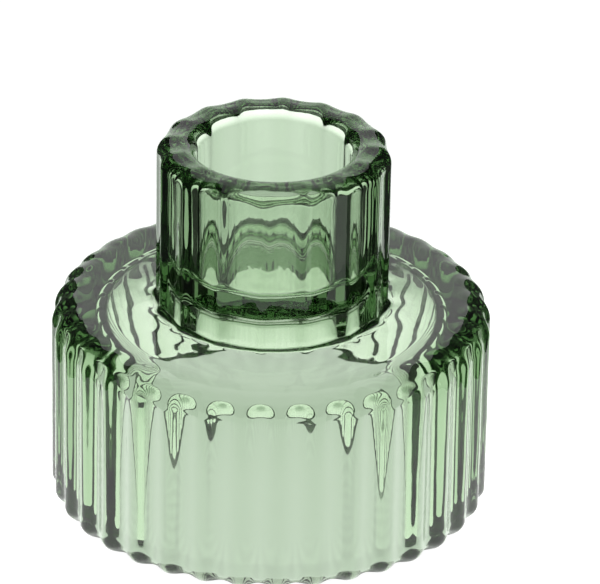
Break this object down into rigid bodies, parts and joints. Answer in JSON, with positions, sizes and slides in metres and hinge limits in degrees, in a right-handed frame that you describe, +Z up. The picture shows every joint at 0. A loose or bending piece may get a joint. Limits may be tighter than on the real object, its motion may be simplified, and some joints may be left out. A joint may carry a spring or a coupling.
{
  "type": "glass candlestick",
  "caption": "Short pressed-glass candlestick: wide hollow ribbed base, flat shoulder and a thick fluted collar with a blind round socket for a dinner candle.",
  "frame": {"origin": "centre of the foot's underside, on the axis", "axes": "+Z up along the axis of the socket and of the ribs; -Y is the front"},
  "size_m": [0.0662, 0.0662, 0.0579],
  "materials": {
    "green_glass": "clear green glass, fire-polished and glossy"
  },
  "bodies": {
    "root": {"glass_candlestick": "green_glass"}
  },
  "joints": []
}
